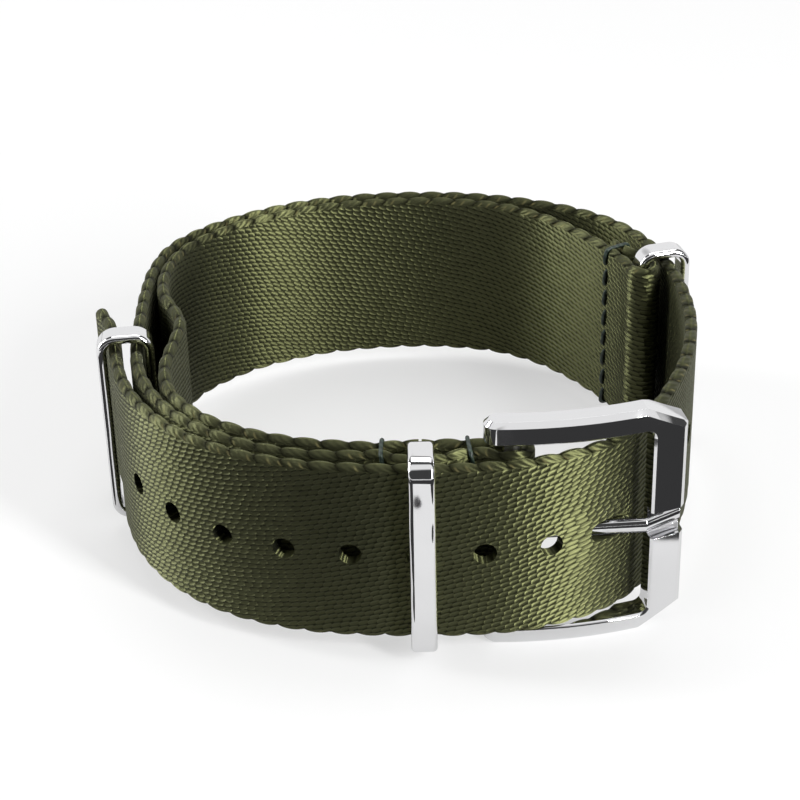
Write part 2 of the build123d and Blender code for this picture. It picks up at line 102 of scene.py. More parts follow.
def mesh_of(name, work):
    mesh = bpy.data.meshes.new(name)
    work.to_mesh(mesh)
    work.free()
    return mesh


def smooth_faces(mesh):
    for polygon in mesh.polygons:
        polygon.use_smooth = True


# ---- The way that the webbing runs, seen from above

def front_angle(place):
    """Angle round the loop of a place along its front, in mm to the right of the middle."""
    return -90 + degrees(place / HALF_DEPTH)


def outward(angle):
    """Direction straight out of the loop at an angle."""
    along, across = cos(radians(angle)), sin(radians(angle))
    grade = SQUARENESS - 1
    slope_x = abs(along / HALF_WIDTH) ** grade / HALF_WIDTH * (1 if along > 0 else -1)
    slope_y = abs(across / HALF_DEPTH) ** grade / HALF_DEPTH * (1 if across > 0 else -1)
    return Vector((slope_x, slope_y)).normalized()


def clockwise(angle):
    """Direction along the loop at an angle, clockwise from above."""
    normal = outward(angle)
    return Vector((normal.y, -normal.x))


def leftwards(heading):
    return Vector((-heading.y, heading.x))


def on_loop(angle, lift):
    """Point of the loop at an angle, moved outwards by a lift."""
    along, across = cos(radians(angle)), sin(radians(angle))
    reach = (abs(along / HALF_WIDTH) ** SQUARENESS
             + abs(across / HALF_DEPTH) ** SQUARENESS) ** (-1 / SQUARENESS)
    return Vector((reach * along, reach * across)) + outward(angle) * lift


def share_at(shares, angle):
    """A table's share at an angle, in a straight line between its two nearest rows."""
    for (angle_a, share_a), (angle_b, share_b) in zip(shares, shares[1:]):
        if angle_a >= angle >= angle_b:
            return share_a + (share_b - share_a) * (angle_a - angle) / (angle_a - angle_b)


def main_lift(angle):
    return THICKNESS * share_at(MAIN_LIFT, angle)


def short_lift(angle):
    return main_lift(angle) - PLY - HALF_DEPTH * share_at(SHORT_GAP, angle)


def smooth_arcs(points, first, last):
    """Pairs of arcs that join smoothly through the points, each as start, heading and end."""
    headings = [first]
    for before, here, after in zip(points, points[1:], points[2:]):
        step_in, step_out = here - before, after - here
        between = step_in.normalized() * step_out.length + step_out.normalized() * step_in.length
        headings.append(between.normalized())
    headings.append(last)
    arcs = []
    for start, heading, end, end_heading in zip(points, headings, points[1:], headings[1:]):
        chord, both = end - start, heading + end_heading
        bend = 2 * (1 - heading.dot(end_heading))
        pull = chord.dot(both)
        if bend > 1e-9:
            reach = (sqrt(pull * pull + bend * chord.dot(chord)) - pull) / bend
        else:
            reach = chord.dot(chord) / (2 * pull)
        corner_a, corner_b = start + heading * reach, end - end_heading * reach
        arcs += [(start, heading, (corner_a + corner_b) / 2),
                 ((corner_a + corner_b) / 2, (corner_b - corner_a).normalized(), end)]
    return arcs, headings


def fold_arcs(centre, start, heading):
    """Half a turn round a centre, as two quarters."""
    quarter = centre + heading * (start - centre).length
    return [(start, heading, quarter), (quarter, (centre - start).normalized(), centre * 2 - start)]


class Route:
    """Line of arcs in plan that gives its point and heading at a length along it."""

    def __init__(self, arcs):
        self.parts, self.starts, self.length = [], [], 0.0
        for start, heading, end in arcs:
            chord = end - start
            half_turn = atan2(heading.x * chord.y - heading.y * chord.x, heading.dot(chord))
            run = chord.length * (half_turn / sin(half_turn) if abs(half_turn) > 1e-6 else 1)
            self.starts.append(self.length)
            self.parts.append((start, heading, chord.length, half_turn, run))
            self.length += run

    def at(self, length):
        index = max(0, min(len(self.parts) - 1, bisect_right(self.starts, length) - 1))
        start, heading, chord, half_turn, run = self.parts[index]
        share = (length - self.starts[index]) / run
        turn = half_turn * share
        reach = chord * (sin(turn) / sin(half_turn) if abs(half_turn) > 1e-6 else share)
        return (start + Matrix.Rotation(turn, 2) @ heading * reach, Matrix.Rotation(2 * turn, 2) @ heading)


bar_angle = front_angle(SPRING_BAR)
bar_way = clockwise(bar_angle) * -1
bar_lift = main_lift(bar_angle - 360) - PLY - BAR_FOLD
bar_axis = on_loop(bar_angle, bar_lift)

flap_points = [on_loop(front_angle(place), lift) for place, lift in (
    (FRONT_RING + BUTT_HALF, RING_LIFT - POCKET), (FRONT_RING + POCKET_HALF, RING_LIFT - POCKET),
    (RIGHT_ROW, ROW_LIFT - PLY), (SPRING_BAR, bar_lift - BAR_FOLD))]
lap_points = [on_loop(front_angle(place), lift) for place, lift in (
    (SPRING_BAR, bar_lift + BAR_FOLD), (RIGHT_ROW, ROW_LIFT), (FRONT_RING + POCKET_HALF, RING_LIFT),
    (FRONT_RING - POCKET_HALF, RING_LIFT), (LEFT_ROW, ROW_LIFT))]
lap_points += [on_loop(angle, main_lift(angle)) for angle, share in MAIN_LIFT[1:]]
flap_arcs = smooth_arcs(flap_points, clockwise(front_angle(FRONT_RING)) * -1, bar_way)[0]
bar_fold_arcs = fold_arcs(bar_axis, flap_points[-1], bar_way)
lap_arcs = smooth_arcs(lap_points, bar_way * -1, (lap_points[-1] - lap_points[-2]).normalized())[0]

rear_way, rear_normal = clockwise(REAR_RING), outward(REAR_RING)
rear_bar = on_loop(REAR_RING, main_lift(REAR_RING) - THICKNESS - REAR_GAP - RING_FOLD)
rear_fold = rear_bar + rear_way * (RING_WIDTH - RING_BAR) / 2
short_points = [on_loop(front_angle(place), lift) for place, lift in (
    (FRONT_RING - BUTT_HALF, RING_LIFT - POCKET), (FRONT_RING - POCKET_HALF, RING_LIFT - POCKET),
    (LEFT_ROW, ROW_LIFT - PLY))]
short_points += [on_loop(angle, short_lift(angle)) for angle, share in SHORT_GAP[1:]]
short_points += [rear_fold - rear_normal * RING_FOLD]
short_arcs, short_headings = smooth_arcs(short_points, clockwise(front_angle(FRONT_RING)), rear_way)
rear_row, rear_row_way = short_points[-2], short_headings[-2]
rear_flap_points = [
    rear_fold + rear_normal * RING_FOLD,
    rear_bar + rear_normal * RING_FOLD - rear_way * RING_WIDTH / 2,
    rear_row + leftwards(rear_row_way) * PLY,
    rear_row + leftwards(rear_row_way) * PLY - rear_row_way * ROW_END]
short_arcs += fold_arcs(rear_fold, short_points[-1], rear_way)
short_arcs += smooth_arcs(rear_flap_points, rear_way * -1, rear_row_way * -1)[0]

main_route, short_route = Route(flap_arcs + bar_fold_arcs + lap_arcs), Route(short_arcs)
lap_start = Route(flap_arcs + bar_fold_arcs).length

# The drawing's own origin is moved to where the solids stand.
path_points = [main_route.at(main_route.length * step / 2000)[0] for step in range(2001)]
strap_low, strap_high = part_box("main_strap")
shift = Vector([
    ((strap_low[axis] + strap_high[axis]) / MM
     - min(p[axis] for p in path_points) - max(p[axis] for p in path_points)) / 2 for axis in (0, 1)])


# ---- Webbing

STEP, ROWS, EDGE_CROWDING = 0.31, 34, 0.42
BEAD, EDGE_ROUND, ROPE_WIDTH = 2.7, 0.62, 0.4
ROPE_RISE, ROPE_WAVE, MEAN_BEAD, BEAD_SWELL = 0.3, 0.034, 0.85, 0.55
EDGE_THINNING, FACE_LAG = 0.96, 0.06
HOLE, HOLE_PITCH = 1.15, 6.5
SLANT_FADE, SLANT_SIDE, SLANT_SIDE_FADE = 1.8, 5, 3.5
TANG_PULL, TANG_HOLE_SHIFT = 0.7, 0.5
SLOT_HALF_LENGTH, SLOT_HALF_WIDTH = 4.9, 1.22


def punch(band, place, half_length, half_width, margin=0.55):
    """Takes a patch out of the flat webbing and draws its edge in to a round or long hole."""
    patch = [face for face in band.faces
             if abs(face.calc_center_median().x - place) < half_length + margin
             and abs(face.calc_center_median().y) < half_width + margin]
    bmesh.ops.delete(band, geom=patch, context="FACES")
    loose = [vert for vert in band.verts if not vert.link_faces]
    bmesh.ops.delete(band, geom=loose, context="VERTS")
    reach = half_length + 2 * margin + STEP
    edge = [e for e in band.edges if e.is_boundary
            and all(abs(v.co.x - place) < reach and abs(v.co.y) < WIDTH / 4 for v in e.verts)]
    rim = bmesh.ops.extrude_edge_only(band, edges=edge)["geom"]
    straight = half_length - half_width
    for vert in (part for part in rim if isinstance(part, bmesh.types.BMVert)):
        centre = Vector((place + max(-straight, min(straight, vert.co.x - place)), 0, 0))
        vert.co = centre + (vert.co - centre).normalized() * half_width


def flat_webbing(length, holes):
    """Flat length of webbing, X along it, Y across and Z through it, with its holes and its beaded edges."""
    band = bmesh.new()
    bmesh.ops.create_grid(band, x_segments=round(length / STEP), y_segments=ROWS, size=0.5)
    for vert in band.verts:
        across = vert.co.y * 2
        crowded = (1 + EDGE_CROWDING) * across - EDGE_CROWDING * across ** 3
        vert.co = ((vert.co.x + 0.5) * length, WIDTH / 2 * crowded, 0)
    for place, half_length, half_width, slant in holes:
        punch(band, place, half_length, half_width)
    bmesh.ops.recalc_face_normals(band, faces=band.faces[:])
    bmesh.ops.solidify(band, geom=band.faces[:], thickness=THICKNESS)
    middle = (max(v.co.z for v in band.verts) + min(v.co.z for v in band.verts)) / 2
    uv = band.loops.layers.uv.new("Weave")
    for face in band.faces:
        face.smooth = True
        for loop in face.loops:
            loop[uv].uv = (loop.vert.co.x * UV_PER_MM, loop.vert.co.y * UV_PER_MM)
    for vert in band.verts:
        x, y, side = vert.co.x, vert.co.y, (1 if vert.co.z > middle else -1)
        from_edge = WIDTH / 2 - abs(y)
        rounding = max(0.0, 1 - from_edge / EDGE_ROUND)
        height = THICKNESS / 2 * sqrt(1 - EDGE_THINNING * rounding ** 2)
        rope = max(0.0, min(1.0, 2 - from_edge / ROPE_WIDTH))
        bead = abs(sin(pi * (x / BEAD + side * FACE_LAG + (0.5 if y > 0 else 0)))) ** BEAD_SWELL
        height *= 1 + ROPE_RISE * rope * (bead - MEAN_BEAD)
        for place, half_length, half_width, slant in holes:
            near = abs(x - place) - half_length
            if slant and near < SLANT_FADE:
                lengthways = max(0.0, min(1.0, 1 - near / SLANT_FADE))
                sideways = max(0.0, min(1.0, (SLANT_SIDE - abs(y)) / SLANT_SIDE_FADE))
                x += slant * height * side * lengthways * sideways
        vert.co = (x, y * (1 + ROPE_WAVE * rounding * (bead - MEAN_BEAD)), side * height)
    return band


def lay_webbing(name, route, holes):
    """Bends flat webbing round its route, standing on its edge, and makes it a piece."""
    band = flat_webbing(route.length, holes)
    for vert in band.verts:
        point, heading = route.at(vert.co.x)
        place = point + shift + leftwards(heading) * vert.co.z
        vert.co = Vector((place.x, place.y, MIDDLE_HEIGHT + vert.co.y)) * MM
    mesh = mesh_of(name, band)
    mesh.set_sharp_from_angle(angle=radians(SOFT_TURN))
    return in_scene(name, mesh)


# The tang's line, from its root's lift to its tip's over its run, and where the tail crosses it
TANG_ROOT, TANG_TIP, TANG_RUN = 0.25, 2.05, 13.0
TANG_SLOPE = (TANG_TIP - TANG_ROOT) / TANG_RUN
LAST_BELOW, FIRST_ABOVE = 0.70, 0.76


def above_tang(length):
    """How far the main strap runs outside the tang's line at a length along it."""
    local = main_route.at(length)[0] - bar_axis
    return local.dot(outward(bar_angle)) - TANG_ROOT - TANG_SLOPE * local.dot(bar_way)


tail_run = main_route.length - lap_start
near, far = lap_start + LAST_BELOW * tail_run, lap_start + FIRST_ABOVE * tail_run
for step in range(30):
    middle = (near + far) / 2
    near, far = (middle, far) if above_tang(middle) < 0 else (near, middle)
buckle_hole = (near + far) / 2
tang_way = (bar_way + outward(bar_angle) * TANG_SLOPE).normalized()
crossing_way = main_route.at(buckle_hole)[1]
crossing = abs(leftwards(crossing_way).dot(tang_way))
slant = crossing_way.dot(tang_way) / leftwards(crossing_way).dot(tang_way)

# Each hole is its place, half length, half width and slant.
tail_holes = [(buckle_hole - TANG_PULL + HOLE_PITCH * step, HOLE, HOLE, 0) for step in range(-4, 9) if step]
tang_hole = (buckle_hole + TANG_HOLE_SHIFT, HOLE / crossing, HOLE, slant)
bar_slot = (lap_start - pi * BAR_FOLD / 2, SLOT_HALF_LENGTH, SLOT_HALF_WIDTH, 0)

main_webbing = lay_webbing("main_webbing", main_route, [bar_slot, tang_hole] + tail_holes)
short_webbing = lay_webbing("short_webbing", short_route, [])


# ---- Thread

ROW_MARGIN, LOOP_GAP, LOOP_LEAN, PRESSED_IN = 0.24, 0.08, 0.16, 0.1


def curve_mesh(name, data):
    """Smooth piece from a curve with thickness."""
    curve = in_scene(name + "_route", data)
    bpy.context.view_layer.update()
    mesh = bpy.data.meshes.new_from_object(curve.evaluated_get(bpy.context.evaluated_depsgraph_get()))
    bpy.data.objects.remove(curve)
    mesh.name = name
    smooth_faces(mesh)
    return in_scene(name, mesh)


def stitch_row(name, middle, heading):
    """Row of thread loops through two plies, the first and last round the webbing's edges."""
    data = bpy.data.curves.new(name, "CURVE")
    data.dimensions, data.bevel_depth = "3D", THREAD / 2 * MM
    data.bevel_resolution, data.resolution_u = 3, 6
    pitch = (WIDTH + THREAD + ROW_MARGIN) / STITCHES
    across, half_depth = leftwards(heading), (PLY + THICKNESS + THREAD) / 2 - PRESSED_IN
    for index in range(STITCHES):
        height = MIDDLE_HEIGHT + (index - (STITCHES - 1) / 2) * pitch
        reach = (pitch - THREAD - LOOP_GAP) / 2
        spline = data.splines.new("NURBS")
        corners = ((-1, -1), (-1.06, 0), (-1, 1), (0, 1), (1, 1), (1.06, 0), (1, -1), (0, -1))
        spline.points.add(len(corners) - 1)
        for point, (out, up) in zip(spline.points, corners):
            lean = heading * (LOOP_LEAN * up)
            place = middle + shift + across * (out * half_depth) + lean
            point.co = (place.x * MM, place.y * MM, (height + up * reach) * MM, 1)
        spline.order_u, spline.use_cyclic_u = 3, True
    return curve_mesh(name, data)


def front_row(name, place):
    angle = front_angle(place)
    return stitch_row(name, on_loop(angle, ROW_LIFT - PLY / 2), clockwise(angle))


left_thread, right_thread = front_row("left_thread", LEFT_ROW), front_row("right_thread", RIGHT_ROW)
rear_thread = stitch_row("rear_thread", rear_row + leftwards(rear_row_way) * PLY / 2, rear_row_way)


# ---- Rings

BAR_ROUND, RING_ROUND = 0.46, 1.5


def rounded_outline(data, half_x, half_y, radius, steps, margin):
    """Closed outline with arcs at its corners, and a point close before and after each arc."""
    spline = data.splines.new("POLY")
    places = []
    for corner in range(4):
        start = corner * pi / 2
        side_x, side_y = (1 if corner in (0, 3) else -1), (1 if corner < 2 else -1)
        centre = Vector((side_x * (half_x - radius), side_y * (half_y - radius)))
        turns = [start + pi / 2 * step / steps for step in range(steps + 1)]
        arc = [Vector((cos(turn), sin(turn))) for turn in turns]
        before, after = Vector((-arc[0].y, arc[0].x)), Vector((-arc[-1].y, arc[-1].x))
        places += [centre + arc[0] * radius - before * margin]
        places += [centre + way * radius for way in arc]
        places += [centre + arc[-1] * radius + after * margin]
    spline.points.add(len(places) - 1)
    for point, place in zip(spline.points, places):
        point.co = (place.x * MM, place.y * MM, 0, 1)
    spline.use_cyclic_u = True


def keeper_ring(name, node, angle):
    """Ring with soft corners, in the place of the plainer solid ring."""
    section_data = bpy.data.curves.new(name + "_section", "CURVE")
    rounded_outline(section_data, RING_BAR / 2, RING_WIDTH / 2, BAR_ROUND, 7, 0.03)
    section = in_scene(name + "_section", section_data)
    data = bpy.data.curves.new(name, "CURVE")
    data.dimensions, data.bevel_mode, data.bevel_object = "2D", "OBJECT", section
    half_depth, half_height = RING_DEPTH / 2 - RING_BAR / 2, RING_HEIGHT / 2 - RING_BAR / 2
    rounded_outline(data, half_depth, half_height, RING_ROUND, 14, 0.1)
    piece = curve_mesh(name, data)
    bpy.data.objects.remove(section)
    low, high = (Vector(corner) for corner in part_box(node))
    out, ahead = outward(angle), clockwise(angle)
    turn = Matrix(((out.x, 0, ahead.x), (out.y, 0, ahead.y), (0, 1, 0))).to_4x4()
    piece.data.transform(Matrix.Translation((low + high) / 2) @ turn)
    if turn.determinant() < 0:
        piece.data.flip_normals()
    return piece


front_ring = keeper_ring("front_ring_metal", "front_keeper_ring", front_angle(FRONT_RING))
side_ring = keeper_ring("side_ring_metal", "side_keeper_ring", SIDE_RING)
rear_metal = keeper_ring("rear_ring_metal", "rear_ring", REAR_RING)


# ---- Materials

FRAME_SWELL, RING_SWELL = 0.0004, 0.0008


def new_material(name):
    material = bpy.data.materials.new(name)
    material.use_nodes = True
    tree = material.node_tree
    return material, tree, tree.nodes["Principled BSDF"]


def wired(tree, kind, inputs=(), **settings):
    """Node of a kind with its settings, whose inputs are values or the outputs of other nodes."""
    node = tree.nodes.new(kind)
    for key, value in settings.items():
        setattr(node, key, value)
    for socket, value in (inputs.items() if isinstance(inputs, dict) else enumerate(inputs)):
        if isinstance(value, bpy.types.NodeSocket):
            tree.links.new(value, node.inputs[socket])
        elif value is not None:
            node.inputs[socket].default_value = value
    return node


def sums(tree, operation, *values):
    return wired(tree, "ShaderNodeMath", values, operation=operation).outputs[0]


def noise(tree, place, scale, detail, **more):
    inputs = {"Vector": place, "Scale": scale, "Detail": detail, **more}
    return wired(tree, "ShaderNodeTexNoise", inputs).outputs[0]


def ranged(tree, value, start, end, low=0.0, high=1.0):
    """A value that runs from start to end, moved to run from low to high and held there."""
    inputs = {"Value": value, "From Min": start, "From Max": end, "To Min": low, "To Max": high}
    return wired(tree, "ShaderNodeMapRange", inputs).outputs[0]


def blended(tree, share, first, second):
    """Colour between two colours."""
    return wired(tree, "ShaderNodeMix", {0: share, 6: first, 7: second}, data_type="RGBA").outputs[2]


def bumped(tree, height, strength, distance, normal=None):
    """Normal with the height's relief on it."""
    inputs = {"Height": height, "Strength": strength, "Distance": distance, "Normal": normal}
    return wired(tree, "ShaderNodeBump", inputs).outputs[0]


def stretched(tree, place, scale):
    return wired(tree, "ShaderNodeMapping", {"Vector": place, "Scale": scale}).outputs[0]


def new_group(name, inputs, outputs):
    tree = bpy.data.node_groups.new(name, "ShaderNodeTree")
    for socket, kind in inputs:
        tree.interface.new_socket(socket, in_out="INPUT", socket_type=kind)
    for socket, kind in outputs:
        tree.interface.new_socket(socket, in_out="OUTPUT", socket_type=kind)
    return tree, tree.nodes.new("NodeGroupInput").outputs, tree.nodes.new("NodeGroupOutput").inputs


def weave_group():
    """Rows of short slanting floats along the webbing, with a rope of beads along each edge; its Shade is
    painted shade, darker in the gaps between floats and in the notches between beads.
    """
    tree, given, gives = new_group(
        "woven_rows", (("UV", "NodeSocketVector"), ("Row", "NodeSocketFloat"), ("Float", "NodeSocketFloat"),
                        ("Slant", "NodeSocketFloat")),
        (("Height", "NodeSocketFloat"), ("Shade", "NodeSocketFloat"), ("Fleck", "NodeSocketFloat")))

    def operation(kind):
        return lambda *values: sums(tree, kind, *values)

    add, subtract, multiply, divide = (operation(kind) for kind in ("ADD", "SUBTRACT", "MULTIPLY", "DIVIDE"))
    floor, power, size, sine = (operation(kind) for kind in ("FLOOR", "POWER", "ABSOLUTE", "SINE"))

    def chance_at(*place):
        """The same random share for one place each time."""
        point = wired(tree, "ShaderNodeCombineXYZ", place).outputs[0]
        return wired(tree, "ShaderNodeTexWhiteNoise", (point,), noise_dimensions="2D").outputs[0]

    # Place in mm, with the rows wandering and climbing a little
    parts = wired(tree, "ShaderNodeSeparateXYZ", (given["UV"],)).outputs
    along, level = multiply(parts[0], MM_PER_UV), multiply(parts[1], MM_PER_UV)
    across = add(level, multiply(noise(tree, given["UV"], 28.0, 2.0), 0.35))
    across = add(across, multiply(along, 0.19))

    # The row, and the float in it
    rows = divide(across, given["Row"])
    row = floor(rows)
    in_row = subtract(subtract(rows, row), 0.5)
    drift = wired(tree, "ShaderNodeTexWhiteNoise", {"W": row}, noise_dimensions="1D").outputs[0]
    drift = add(multiply(drift, 0.5), multiply(row, 0.36))
    shifted = add(divide(along, given["Float"]), drift)
    cell = floor(shifted)
    in_cell = subtract(subtract(shifted, cell), 0.5)

    # The float's dome, narrower and lower towards its ends
    off_line = subtract(in_row, multiply(in_cell, given["Slant"]))
    to_end = power(size(multiply(in_cell, 2.0)), 3.0)
    breadth = subtract(1.0, multiply(to_end, 0.3))
    off_middle = divide(multiply(off_line, 2.0), breadth)
    row_dome = subtract(1.0, multiply(off_middle, off_middle))
    dome = operation("MAXIMUM")(multiply(row_dome, subtract(1.0, multiply(to_end, 0.22))), 0.0)
    chance = chance_at(cell, row)

    # The rope at each edge
    from_edge = subtract(WIDTH / 2, size(level))
    rope = ranged(tree, from_edge, EDGE_ROUND, 0.42)
    side = multiply(operation("GREATER_THAN")(parts[1], 0.0), 0.5)
    twist = add(add(divide(along, BEAD), side), multiply(from_edge, 0.35))
    bead = power(size(sine(multiply(twist, pi))), 0.6)
    strands = sine(multiply(add(multiply(from_edge, 2.6), multiply(along, 1.1)), 2 * pi))

    def with_rope(field, edge):
        return wired(tree, "ShaderNodeMix", {0: rope, 2: field, 3: edge}).outputs[0]

    tree.links.new(with_rope(dome, add(bead, multiply(strands, 0.13))), gives["Height"])
    # Painted shade: the colour darkens from each float's crown into the gaps between floats and rows, times a
    # random tone per float; on the rope it darkens into the notches between the beads.
    shade = multiply(add(multiply(dome, 0.75), 0.25), add(multiply(chance, 0.4), 0.8))
    tree.links.new(with_rope(shade, multiply(bead, 0.8)), gives["Shade"])

    # Paler flecks in some of the rope's turns
    tuft = add(divide(along, 1.05), multiply(from_edge, 0.9))
    tuft_cell = floor(tuft)
    tuft_chance = chance_at(tuft_cell, operation("SIGN")(parts[1]))
    in_tuft = size(subtract(subtract(tuft, tuft_cell), 0.5))
    slim = ranged(tree, in_tuft, 0.16, 0.06)
    near_edge = ranged(tree, size(subtract(from_edge, 0.28)), 0.26, 0.12)
    chosen = operation("GREATER_THAN")(tuft_chance, 0.6)
    tree.links.new(multiply(multiply(slim, near_edge), chosen), gives["Fleck"])
    return tree


def webbing_material(weave):
    """Olive nylon with a satin face: the floats shine along the webbing, and painted shade makes the gaps
    between them nearly black.
    """
    material, tree, shader = new_material("olive_webbing")
    uv = wired(tree, "ShaderNodeUVMap", uv_map="Weave").outputs[0]
    rows = wired(tree, "ShaderNodeGroup", node_tree=weave)
    tree.links.new(uv, rows.inputs["UV"])
    for name, value in (("Row", 0.57), ("Float", 0.9), ("Slant", -0.2)):
        rows.inputs[name].default_value = value
    shade = rows.outputs["Shade"]
    tone = wired(tree, "ShaderNodeValToRGB", (noise(tree, uv, 7.0, 3.0, Roughness=0.6),))
    dark, light = tone.color_ramp.elements
    dark.position, dark.color = 0.35, (0.0085, 0.0092, 0.0072, 1)
    light.position, light.color = 0.7, (0.013, 0.0133, 0.0093, 1)
    # Painted shade: the colour falls to nearly black in the weave's gaps and in the rope's notches.
    lit = blended(tree, shade, (0.002, 0.002, 0.001, 1), tone.outputs[0])
    flecked = blended(tree, rows.outputs["Fleck"], lit, (0.075, 0.066, 0.03, 1))
    tree.links.new(flecked, shader.inputs["Base Color"])
    tree.links.new(ranged(tree, shade, 0.0, 1.0, 0.8, 0.55), shader.inputs["Roughness"])
    tree.links.new(bumped(tree, rows.outputs["Height"], 0.9, 0.00014), shader.inputs["Normal"])
    # Painted shade in the specular too: the gaps reflect less, as if they were occluded.
    tree.links.new(ranged(tree, shade, 0.15, 0.75, 0.15, 1.0), shader.inputs["Specular IOR Level"])
    lengthways = wired(tree, "ShaderNodeTangent", direction_type="UV_MAP", uv_map="Weave").outputs[0]
    tree.links.new(lengthways, shader.inputs["Tangent"])
    shader.inputs["Anisotropic"].default_value = 1.0
    shader.inputs["Anisotropic Rotation"].default_value = 0.25
    shader.inputs["IOR"].default_value = 1.66
    shader.inputs["Specular Tint"].default_value = (0.92, 0.97, 0.42, 1)
    return material


def thread_material():
    """Dark green sewing thread with fine strands."""
    material, tree, shader = new_material("dark_green_thread")
    place = wired(tree, "ShaderNodeTexCoord").outputs["Object"]
    inputs = {"Vector": place, "Scale": 700.0, "Distortion": 1.5, "Detail": 1.0}
    strands = wired(tree, "ShaderNodeTexWave", inputs, bands_direction="DIAGONAL").outputs[1]
    tone = blended(tree, strands, (0.008, 0.016, 0.013, 1), (0.03, 0.05, 0.036, 1))
    tree.links.new(tone, shader.inputs["Base Color"])
    tree.links.new(bumped(tree, strands, 0.6, 0.00006), shader.inputs["Normal"])
    shader.inputs["Roughness"].default_value = 0.5
    return material


def polished_material(name, swell_depth):
    """Mirror-polished steel with a slight swell, hairline swirls and a few faint smudges."""
    material, tree, shader = new_material(name)
    place = wired(tree, "ShaderNodeTexCoord").outputs["Object"]
    smudge = noise(tree, place, 260.0, 3.0)
    hair = noise(tree, stretched(tree, place, (300, 300, 5200)), 1.0, 2.0)
    tree.links.new(ranged(tree, smudge, 0.35, 0.75, 0.035, 0.10), shader.inputs["Roughness"])
    swell = bumped(tree, noise(tree, place, 150.0, 0.5), 1.0, swell_depth)
    tree.links.new(bumped(tree, hair, 0.03, 0.00002, swell), shader.inputs["Normal"])
    shader.inputs["Base Color"].default_value = (0.86, 0.86, 0.87, 1)
    shader.inputs["Metallic"].default_value = 1.0
    return material


def drawn_material():
    """Plain drawn steel of the spring bar, with fine lines along it."""
    material, tree, shader = new_material("drawn_steel")
    place = wired(tree, "ShaderNodeTexCoord").outputs["Object"]
    lines = noise(tree, stretched(tree, place, (9000, 9000, 400)), 1.0, 3.0)
    tree.links.new(ranged(tree, lines, 0.0, 1.0, 0.22, 0.4), shader.inputs["Roughness"])
    tree.links.new(bumped(tree, lines, 0.15, 0.00002), shader.inputs["Normal"])
    shader.inputs["Base Color"].default_value = (0.62, 0.61, 0.6, 1)
    shader.inputs["Metallic"].default_value = 1.0
    return material


webbing_finish = webbing_material(weave_group())
thread_finish, drawn_finish = thread_material(), drawn_material()
polished_finish = polished_material("mirror_steel", FRAME_SWELL)
ring_finish = polished_material("ring_steel", RING_SWELL)

for piece, node, finish in (
        (main_webbing, "main_strap", webbing_finish), (short_webbing, "short_strap", webbing_finish),
        (left_thread, "left_stitches", thread_finish), (right_thread, "right_stitches", thread_finish),
        (rear_thread, "rear_stitches", thread_finish)):
    piece.data.materials.append(finish)
    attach(piece, "strap")
    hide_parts(node)

for piece, node, body in (
        (front_ring, "front_keeper_ring", "front_ring"), (side_ring, "side_keeper_ring", "side_ring"),
        (rear_metal, "rear_ring", "rear_ring")):
    piece.data.materials.append(ring_finish)
    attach(piece, body)
    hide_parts(node)


# ---- Buckle, tang and spring bar

def dome(work, depth):
    """Rounds the outer face of an upright bar, so that it falls away towards its upper and lower edges."""
    heights = [vert.co.z for vert in work.verts]
    middle, half = (max(heights) + min(heights)) / 2, (max(heights) - min(heights)) / 2
    for share in (-0.6, -0.45, -0.3, -0.15, 0.0, 0.15, 0.3, 0.45, 0.6):
        bmesh.ops.bisect_plane(work, geom=work.verts[:] + work.edges[:] + work.faces[:],
                               plane_co=(0, 0, middle + share * half), plane_no=(0, 0, 1))
    work.normal_update()
    out = Vector((*outward(bar_angle), 0))
    moves = [(vert, max(0.0, min(1.0, vert.normal.dot(out) * 2)) * ((vert.co.z - middle) / half) ** 2)
             for vert in work.verts]
    for vert, share in moves:
        vert.co -= out * (share * depth * MM)


def softened(node, body, width, rings=3, domed=0.0):
    """The same shape with its sharp edges rounded a little, as polishing leaves them."""
    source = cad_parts[node]
    work = bmesh.new()
    work.from_mesh(source.data)
    work.transform(source.matrix_world)
    bmesh.ops.remove_doubles(work, verts=work.verts[:], dist=0.000002)
    bmesh.ops.dissolve_limit(work, angle_limit=radians(0.6), verts=work.verts[:], edges=work.edges[:])
    sharp = [edge for edge in work.edges
             if len(edge.link_faces) == 2 and edge.calc_face_angle() > radians(BLUNT_CORNER)]
    bmesh.ops.bevel(work, geom=sharp, offset=width * MM, offset_type="OFFSET", segments=rings, profile=0.5,
                    affect="EDGES", clamp_overlap=True)
    if domed:
        dome(work, domed)
    mesh = mesh_of(node + "_metal", work)
    smooth_faces(mesh)
    mesh.set_sharp_from_angle(angle=radians(SOFT_TURN if domed else CRISP_TURN))
    mesh.materials.append(polished_finish)
    piece = in_scene(node + "_metal", mesh)
    even = piece.modifiers.new("even_normals", "WEIGHTED_NORMAL")
    even.mode, even.weight, even.keep_sharp = "FACE_AREA", 80, True
    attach(piece, body)
    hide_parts(node)


softened("buckle_frame", "buckle", 0.2)
softened("buckle_tang", "tang", 0.1, 2, domed=0.4)
for name in ("spring_bar_tube", "spring_bar_pin_upper", "spring_bar_pin_lower"):
    bar_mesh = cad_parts[name].data
    bar_mesh.materials.clear()
    bar_mesh.materials.append(drawn_finish)


